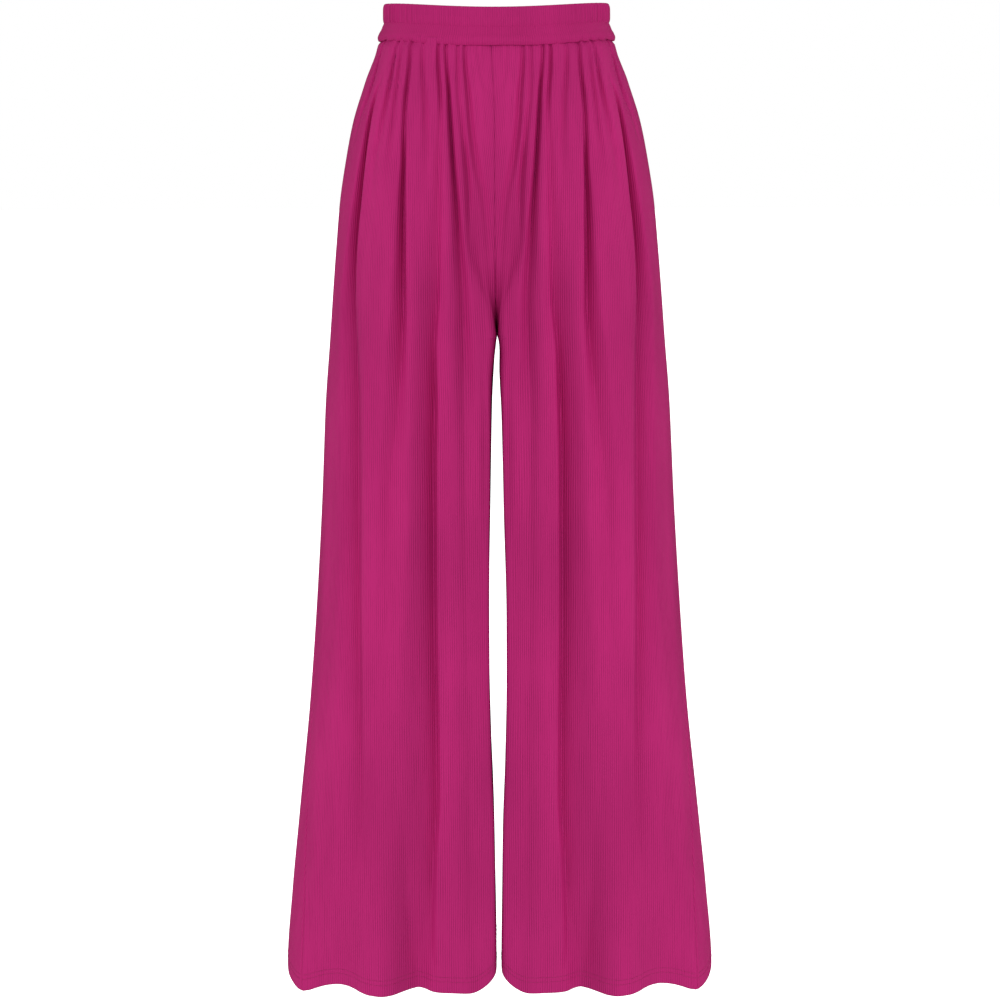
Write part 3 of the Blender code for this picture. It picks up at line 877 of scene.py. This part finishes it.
def ribbed_jersey(name, groove, ridge, relief=1.0):
    """Viscose jersey knitted in fine ribs. The eye sees broken upright lines, with painted shade in the
    grooves and a painted highlight on the ridges, slow random changes in tone, and no gloss. The ribs
    are drawn as coarse as they need to be to show."""
    material = bpy.data.materials.new(name)
    material.use_nodes = True
    tree = material.node_tree
    finish = tree.nodes["Principled BSDF"]
    place = add_node(tree, "ShaderNodeUVMap", {"uv_map": "cut"}).outputs[0]
    across = add_node(tree, "ShaderNodeSeparateXYZ", links={0: place}).outputs[0]

    def cloudy(wide, long, detail):
        """Noise that changes every so many millimetres across and along the ribs."""
        spread = add_node(tree, "ShaderNodeMapping", {"Scale": (1 / wide, 1 / long, 1)},
                          {"Vector": place}).outputs[0]
        settings = {"noise_dimensions": "2D", "Scale": 1.0, "Detail": detail}
        return add_node(tree, "ShaderNodeTexNoise", settings, {"Vector": spread}).outputs[0]

    # the ribs wander sideways, and each fades in and out along its length
    wander = add_node(tree, "ShaderNodeMath", {"operation": "MULTIPLY_ADD", 1: RIB_WANDER},
                      {0: cloudy(wide=26, long=160, detail=1), 2: across}).outputs[0]
    turns = add_node(tree, "ShaderNodeMath", {"operation": "MULTIPLY", 1: 2 * math.pi / RIB_PITCH},
                     {0: wander}).outputs[0]
    wave = add_node(tree, "ShaderNodeMath", {"operation": "SINE"}, {0: turns}).outputs[0]
    broken = add_node(tree, "ShaderNodeMapRange",
                      {"From Min": 0.32, "From Max": 0.62, "To Min": 0.15, "To Max": 1.0},
                      {"Value": cloudy(wide=5.5, long=34, detail=2)}).outputs[0]
    ribs = add_node(tree, "ShaderNodeMath", {"operation": "MULTIPLY"}, {0: wave, 1: broken}).outputs[0]

    # the colour is painted darker in the rib grooves and lighter on the rib ridges, as painted shade
    # and a painted highlight, and it also changes slowly at random with the clouds; the relief follows
    # the ribs and the fuzz
    shade = add_node(tree, "ShaderNodeMath", {"operation": "MULTIPLY_ADD", 1: RIB_SHADE},
                     {0: ribs, 2: cloudy(wide=60, long=240, detail=2)}).outputs[0]
    colour = add_node(tree, "ShaderNodeMix",
                      {"data_type": "RGBA", FIRST_COLOUR: linear(groove), SECOND_COLOUR: linear(ridge)},
                      {0: shade}).outputs[MIXED_COLOUR]
    height = add_node(tree, "ShaderNodeMath", {"operation": "MULTIPLY_ADD", 1: 0.5},
                      {0: cloudy(wide=0.9, long=1.4, detail=1), 2: ribs}).outputs[0]
    bump = add_node(tree, "ShaderNodeBump", {"Strength": 0.7, "Distance": RIB_RELIEF * relief * MM},
                    {"Height": height}).outputs[0]
    tree.links.new(colour, finish.inputs["Base Color"])
    tree.links.new(bump, finish.inputs["Normal"])
    finish.inputs["Roughness"].default_value = 0.6
    finish.inputs["Specular IOR Level"].default_value = 0.13
    return material


# the darker colour is painted shade in the rib grooves, the lighter one a painted highlight on the rib
# ridges
leg_jersey = ribbed_jersey("ribbed_viscose_jersey", "#A01B5F", "#C02674")
# Each leg piece and its grid of points, by panel and wearer
leg_pieces = {}
leg_points = {}
for panel in ("front", "back"):
    for wearer in ("left", "right"):
        points, cut = leg_piece(panel, wearer)
        piece = cloth(f"leg_{panel}_{wearer}_cloth", points, cut)
        give_wall(piece, row_levels())
        piece.data.materials.append(leg_jersey)
        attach(piece, "root")
        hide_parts(f"leg_{panel}_{wearer}")
        leg_pieces[panel, wearer] = piece
        leg_points[panel, wearer] = points


# Hem stitching --------------------------------------------
# Each hem is turned up 18 mm and held by a twin needle: two rows of short stitches in matching
# thread, 5 mm apart, that lie on the outside of the cloth.

STITCH_ROWS = (13.0, 18.0)
STITCH_PITCH = 3.2
STITCH_LENGTH = 2.5
STITCH_THICK = 0.34
STITCH_PROUD = 0.3


def sewing_thread(name, colour, lighter):
    """Spun polyester thread in the shade of the cloth: matt, with a fine twist."""
    material = bpy.data.materials.new(name)
    material.use_nodes = True
    tree = material.node_tree
    finish = tree.nodes["Principled BSDF"]
    place = add_node(tree, "ShaderNodeTexCoord").outputs["Object"]
    twist = add_node(tree, "ShaderNodeTexNoise", {"Scale": 900.0, "Detail": 2.0},
                     {"Vector": place}).outputs[0]
    mix = add_node(tree, "ShaderNodeMix",
                   {"data_type": "RGBA", FIRST_COLOUR: linear(colour), SECOND_COLOUR: linear(lighter)},
                   {0: twist})
    tree.links.new(mix.outputs[MIXED_COLOUR], finish.inputs["Base Color"])
    finish.inputs["Roughness"].default_value = 0.7
    return material


def hem_stitches(name, grid, material):
    """Rows of stitches along the hem of a grid of points, each one a copy of the same small bar."""
    bpy.ops.mesh.primitive_cylinder_add(vertices=6, radius=0.5, depth=1)
    stitch = bpy.context.object
    corners = np.array([v.co for v in stitch.data.vertices])
    faces = [list(p.vertices) for p in stitch.data.polygons]
    bpy.data.objects.remove(stitch)
    corners[:, :2] *= STITCH_THICK
    corners[:, 2] *= STITCH_LENGTH
    downs = row_levels()
    up = np.array((0.0, 0.0, 1.0))
    vertices = []
    for rise in STITCH_ROWS:
        row = int(np.argmin(np.abs(downs - (HEM - rise))))
        below, above = (row, row - 1) if downs[row] < HEM - rise else (row + 1, row)
        share = (HEM - rise - downs[below]) / (downs[above] - downs[below])
        line = grid[below] + (grid[above] - grid[below]) * share
        along = np.concatenate(([0.0], np.cumsum(np.linalg.norm(np.diff(line, axis=0), axis=1))))
        tangents = np.gradient(line, along, axis=0)
        for place in np.arange(STITCH_PITCH, along[-1] - STITCH_PITCH / 2, STITCH_PITCH):
            middle = np.array([np.interp(place, along, line[:, i]) for i in range(3)])
            run = np.array([np.interp(place, along, tangents[:, i]) for i in range(3)])
            run /= np.linalg.norm(run)
            out = np.cross(run, up)
            out /= np.linalg.norm(out)
            turned = corners @ np.array((out, np.cross(out, run), run))
            vertices.append(middle + out * STITCH_THICK * STITCH_PROUD + turned)
    mesh = bpy.data.meshes.new(name)
    count = len(corners)
    all_faces = [[i + count * n for i in face] for n in range(len(vertices)) for face in faces]
    mesh.from_pydata(np.concatenate(vertices) * MM, [], all_faces)
    mesh.materials.append(material)
    piece = bpy.data.objects.new(mesh.name, mesh)
    bpy.context.collection.objects.link(piece)
    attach(piece, "root")
    return piece


thread = sewing_thread("spun_polyester_thread", "#A92067", "#B42E70")
for (panel, wearer), piece in leg_pieces.items():
    stitches = hem_stitches(f"hem_stitches_{panel}_{wearer}", leg_points[panel, wearer], thread)


# Lower band -----------------------------------------------
# A plain band of the same jersey, folded double. It flares from the elastic to the gathers, and
# its lower edge rolls over the seam and dips into it at each gather.

RING_STEPS = 640
LOOP_STEPS = 44
LOOP_FINE_STEPS = 20 * LOOP_STEPS
LOOP_SQUARE = 3.4
LOOP_JOIN = 0.01

# The middle of the band's wall: how far it stands out from the waist's ellipse at each depth
BAND_PATH = table(
    "down  reach",
    (7.5,   -1.5),
    (9.6,   -1.0),
    (12.0,   0.0),
    (16.0,   1.6),
    (20.0,   3.9),
    (24.5,   5.5),
    (28.2,   5.2),
)
BAND_WALL = 2.4

# Where the lower edge dips into a gather, on the front, on the back or on both, and how deep
TUCKS = table(
    "out  front back  depth",
    (118,    1,    1,   1.6),
    (109,    1,    1,   1.3),
    (100,    1,    1,   1.5),
    (90,     1,    1,   1.2),
    (76,     1,    1,   0.3),
    (62,     1,    1,   0.35),
    (51,     1,    1,   0.3),
    (37,     1,    1,   0.2),
    (20,     0,    1,   0.3),
)
TUCK_WIDE = 3.0
TUCK_PULL_IN = 0.8
FRONT_HUG = 1.3
EDGE_STARTS = 19.0
EDGE_HIGH = 9.0
BAND_UNEVEN = 0.18
BAND_SEED = 11
BAND_WAVES = ((11, 900), (7, 700), (19, 800))


def loop_of(path, wall):
    """Reach and depth of points round a flat tube with rounded edges, whose middle is a path."""
    turn = np.linspace(0, 2 * math.pi, LOOP_FINE_STEPS + 1)
    rounded = 2 / LOOP_SQUARE
    share = 0.5 - 0.5 * np.sign(np.sin(turn)) * np.abs(np.sin(turn))**rounded
    away = 0.5 * wall * np.sign(np.cos(turn)) * np.abs(np.cos(turn))**rounded
    downs = path["down"][0] + share * (path["down"][-1] - path["down"][0])
    reach = smooth(path["down"], path["reach"], downs) + away
    steps = np.hypot(np.diff(reach), np.diff(downs))
    along = np.concatenate(([0.0], np.cumsum(steps)))
    even = np.linspace(0, along[-1], LOOP_STEPS + 1)
    return np.interp(even, along, reach), np.interp(even, along, downs), np.interp(even, along, away)


def waist_ring(name, path, wall, shape):
    """A closed tube round the waist: a grid set to its section and merged where its edges meet."""
    reach, downs, outer = loop_of(path, wall)
    angle = np.linspace(0, 2 * math.pi, RING_STEPS + 1)
    middle = np.column_stack((CASING_WIDE * np.cos(angle), CASING_DEEP * np.sin(angle)))
    length = np.concatenate(([0.0], np.cumsum(np.linalg.norm(np.diff(middle, axis=0), axis=1))))
    turn, reach = np.meshgrid(angle, reach)
    length, down = np.meshgrid(length, downs)
    more, lower = shape(turn, length, down)
    x = (CASING_WIDE + reach + more) * np.cos(turn)
    y = (CASING_DEEP + reach + more) * np.sin(turn)
    around = np.concatenate(([0.0], np.cumsum(np.hypot(np.diff(downs), np.diff(outer)))))
    cut = np.stack((length, np.broadcast_to(around[:, None], length.shape)), axis=-1)
    piece = cloth(name, np.stack((x, y, -(down + lower) - waist_dip(y)), axis=-1), cut)
    bpy.ops.object.mode_set(mode="EDIT")
    bpy.ops.mesh.select_all(action="SELECT")
    bpy.ops.mesh.remove_doubles(threshold=LOOP_JOIN * MM)
    bpy.ops.object.mode_set(mode="OBJECT")
    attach(piece, "root")
    return piece


def waist_waves(length, down, seed, waves):
    """Slow waves that close round the waist: how many there are all round, and how long they are."""
    whole = length.max()
    return slow_waves(length, down, seed, [(whole / count, long) for count, long in waves])


def band_shape(turn, length, down):
    """How far the band stands out and hangs down: its lower edge dips at the gathers, lies closer in
    front and is a little uneven."""
    across = (CASING_WIDE + BAND_PATH["reach"][-1]) * np.abs(np.cos(turn))
    near_edge = ease((down - EDGE_STARTS) / EDGE_HIGH)
    tucked = np.zeros_like(turn)
    for out, front, back, depth in zip(*TUCKS.values()):
        here = np.where(np.sin(turn) < 0, front, back)
        tucked += depth * here * np.exp(-((across - out) / TUCK_WIDE)**2)
    uneven = BAND_UNEVEN * waist_waves(length, down, BAND_SEED, BAND_WAVES)
    in_front = np.clip(-np.sin(turn), 0, 1)**2
    pulled_in = near_edge * (TUCK_PULL_IN * tucked + FRONT_HUG * in_front)
    return uneven - pulled_in, uneven - near_edge * tucked


lower_band = waist_ring("lower_band", BAND_PATH, BAND_WALL, band_shape)
# the darker colour is painted shade in the rib grooves, the lighter one a painted highlight on the rib
# ridges
lower_band.data.materials.append(ribbed_jersey("ribbed_viscose_band", "#A51C61", "#BC2270", 0.6))
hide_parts("waistband_lower")


# Elastic casing -------------------------------------------
# A tube of jersey round a wide elastic. It is gathered into narrow upright ripples, which are deep
# over the hips and nearly flat in front, and its upper edge is a soft fold.

CASING_PATH = table(
    "down  reach",
    (-11.5, -1.7),
    (-8.0,  -1.45),
    (4.0,   -1.3),
    (9.9,   -1.6),
)
CASING_WALL = 3.0

# The ripples: how many there are all round, how deep they are over the hips, which share of that
# they keep in front, behind and at the casing's edges, and how unevenly they are set
RIPPLES = 104
RIPPLE_DEPTH = 3.9
RIPPLE_SHARPNESS = 0.7
RIPPLE_LEVEL = 0.75
FRONT_SHARE = 0.16
BACK_SHARE = 0.55
EDGE_SHARE = 0.25
HIPS_FROM = 0.62
HIPS_WIDE = 0.3
UPPER_EDGE = -11.5
UPPER_EDGE_HIGH = 5.0
LOWER_EDGE = 10.5
LOWER_EDGE_HIGH = 4.0
SHIFT = 1.9
SHIFT_SEED = 21
SHIFT_WAVES = ((18, 9000), (11, 9000), (29, 9000))
EVEN_SHARE = 0.75
UNEVEN_SHARE = 0.35
UNEVEN_SEED = 22
UNEVEN_WAVES = ((9, 9000), (15, 9000))

# The edges rise and fall with the ripples
EDGE_WAVE = 0.25
EDGE_LEVEL = 0.6


def casing_shape(turn, length, down):
    """How far the casing stands out and hangs down: ripples that are deepest at mid-height and over
    the hips."""
    shifted = length + SHIFT * waist_waves(length, 0, SHIFT_SEED, SHIFT_WAVES)
    ridge = np.abs(np.sin(math.pi * shifted * RIPPLES / length.max()))**RIPPLE_SHARPNESS
    over_hips = ease((np.abs(np.cos(turn)) - HIPS_FROM) / HIPS_WIDE)
    least = np.where(np.sin(turn) > 0, BACK_SHARE, FRONT_SHARE)
    strength = least + (1 - least) * over_hips
    strength *= EVEN_SHARE + UNEVEN_SHARE * waist_waves(length, 0, UNEVEN_SEED, UNEVEN_WAVES)
    middle = ease((down - UPPER_EDGE) / UPPER_EDGE_HIGH) * ease((LOWER_EDGE - down) / LOWER_EDGE_HIGH)
    ripple = RIPPLE_DEPTH * strength * (ridge - RIPPLE_LEVEL) * (EDGE_SHARE + (1 - EDGE_SHARE) * middle)
    return ripple, EDGE_WAVE * strength * (ridge - EDGE_LEVEL)


elastic_casing = waist_ring("elastic_casing", CASING_PATH, CASING_WALL, casing_shape)
# the darker colour is painted shade in the rib grooves, the lighter one a painted highlight on the rib
# ridges
elastic_casing.data.materials.append(ribbed_jersey("ribbed_viscose_casing", "#A51C62", "#BC2270", 0.8))
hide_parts("waistband_casing")


# Studio ---------------------------------------------------
# A pale floor, a white surround and soft lamps. The side, flank and back lamps light the legs of
# their own half, so that the folds turn their dark side to the middle. The waist lamps light the
# two rings.

FLOOR_DOWN = 1350.0
FLOOR_SIZE = 60.0
WHITE = (1, 1, 1, 1)
bpy.ops.mesh.primitive_plane_add(size=FLOOR_SIZE, location=(0, 0, -FLOOR_DOWN * MM))
floor = bpy.context.object
floor.name = "floor"
floor_paint = bpy.data.materials.new("white_painted_floor")
floor_paint.use_nodes = True
finish = floor_paint.node_tree.nodes["Principled BSDF"].inputs
finish["Base Color"].default_value = linear("#F7F7F7")
finish["Roughness"].default_value = 0.9
finish["Emission Color"].default_value = WHITE
finish["Emission Strength"].default_value = 1.0
floor.data.materials.append(floor_paint)
floor.visible_diffuse = False
floor.visible_glossy = False


def lamp(name, place, aim, size, watts, only=()):
    """A soft box that faces a point, and lights only the given pieces if there are any."""
    data = bpy.data.lights.new(name, "AREA")
    data.shape = "RECTANGLE"
    data.size, data.size_y = size
    data.energy = watts
    light = bpy.data.objects.new(name, data)
    light.location = place
    bpy.context.collection.objects.link(light)
    light.rotation_euler = (Vector(aim) - Vector(place)).to_track_quat("-Z", "Y").to_euler()
    if only:
        group = bpy.data.collections.new(name + "_lights")
        for piece in only:
            group.objects.link(piece)
        light.light_linking.receiver_collection = group
    light.visible_glossy = False


for wearer, side in (("left", 1), ("right", -1)):
    front = leg_pieces["front", wearer]
    back = leg_pieces["back", wearer]
    lamp(f"side_lamp_{wearer}", place=(side * 1.75, -2.55, -0.2), aim=(0, 0, -0.45), size=(0.5, 2.0),
         watts=24.6, only=(front, back))
    lamp(f"flank_lamp_{wearer}", place=(side * 2.9, -0.6, -0.3), aim=(0, 0, -0.5), size=(0.6, 2.0),
         watts=6, only=(front, back))
    lamp(f"back_lamp_{wearer}", place=(side * 1.75, 2.55, -0.2), aim=(0, 0, -0.45), size=(0.5, 2.0),
         watts=23, only=(back,))
lamp("front_lamp", place=(0, -3.6, 0.6), aim=(0, 0, -0.4), size=(2.2, 1.6), watts=14)
lamp("rear_lamp", place=(0, 3.6, 0.6), aim=(0, 0, -0.4), size=(2.2, 1.6), watts=14)
rings = (lower_band, elastic_casing)
for name, away in (("waist_front_lamp", -3.0), ("waist_rear_lamp", 3.0)):
    lamp(name, place=(0, away, 0.2), aim=(0, 0, 0), size=(1.2, 0.8), watts=11, only=rings)
    for wearer, side in (("left", 1), ("right", -1)):
        lamp(f"{name}_{wearer}", place=(side * 2.6, away * 0.5, 0), aim=(0, 0, 0), size=(0.5, 1.0),
             watts=9, only=rings)

# The camera sees the surround a little brighter than the light that it gives
SURROUND_LIGHT = 0.7
surround = bpy.data.worlds.new("white_surround")
bpy.context.scene.world = surround
surround.cycles_visibility.glossy = False
surround.use_nodes = True
sky = surround.node_tree
shine = sky.nodes["Background"]
shine.inputs["Color"].default_value = WHITE
shine.inputs["Strength"].default_value = SURROUND_LIGHT
seen = add_node(sky, "ShaderNodeBackground", {"Color": WHITE, "Strength": 1.0})
rays = add_node(sky, "ShaderNodeLightPath")
both = add_node(sky, "ShaderNodeMixShader",
                links={0: rays.outputs["Is Camera Ray"], 1: shine.outputs[0], 2: seen.outputs[0]})
sky.links.new(both.outputs[0], sky.nodes["World Output"].inputs["Surface"])

# The camera stands level with the hips, looks eight degrees down and is rolled very slightly
CAMERA_PLACE = (0.0022, -3.0, -0.0936)
CAMERA_TURN = (81.8, 0.188, -0.027)
bpy.ops.object.camera_add(location=CAMERA_PLACE, rotation=[math.radians(turn) for turn in CAMERA_TURN])
camera = bpy.context.object
camera.name = "camera"
camera.data.sensor_width = 36
camera.data.lens = 99.2
bpy.context.scene.camera = camera
bpy.context.scene.view_settings.view_transform = "Standard"
